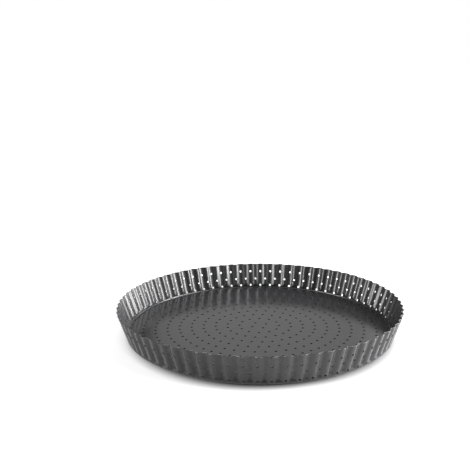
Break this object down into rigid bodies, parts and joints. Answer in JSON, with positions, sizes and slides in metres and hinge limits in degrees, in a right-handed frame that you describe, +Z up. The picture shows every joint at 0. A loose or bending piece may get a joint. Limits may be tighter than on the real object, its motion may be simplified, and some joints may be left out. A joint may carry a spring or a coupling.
{
  "type": "perforated fluted tart pan",
  "caption": "Round tart pan with a fluted, leaning, perforated wall and a loose perforated base that rests on the wall's inward flange.",
  "frame": {"origin": "centre of the flange's underside, on the table that the pan stands on", "axes": "+Z up along the pan's axis, +X through the crest of a flute"},
  "size_m": [0.282, 0.282, 0.0276],
  "materials": {
    "ring_coating": "semi-gloss dark grey non-stick coating on steel sheet",
    "base_coating": "semi-gloss dark grey non-stick coating on steel sheet"
  },
  "bodies": {
    "root": {"fluted_ring": "ring_coating", "loose_base": "base_coating"}
  },
  "joints": []
}
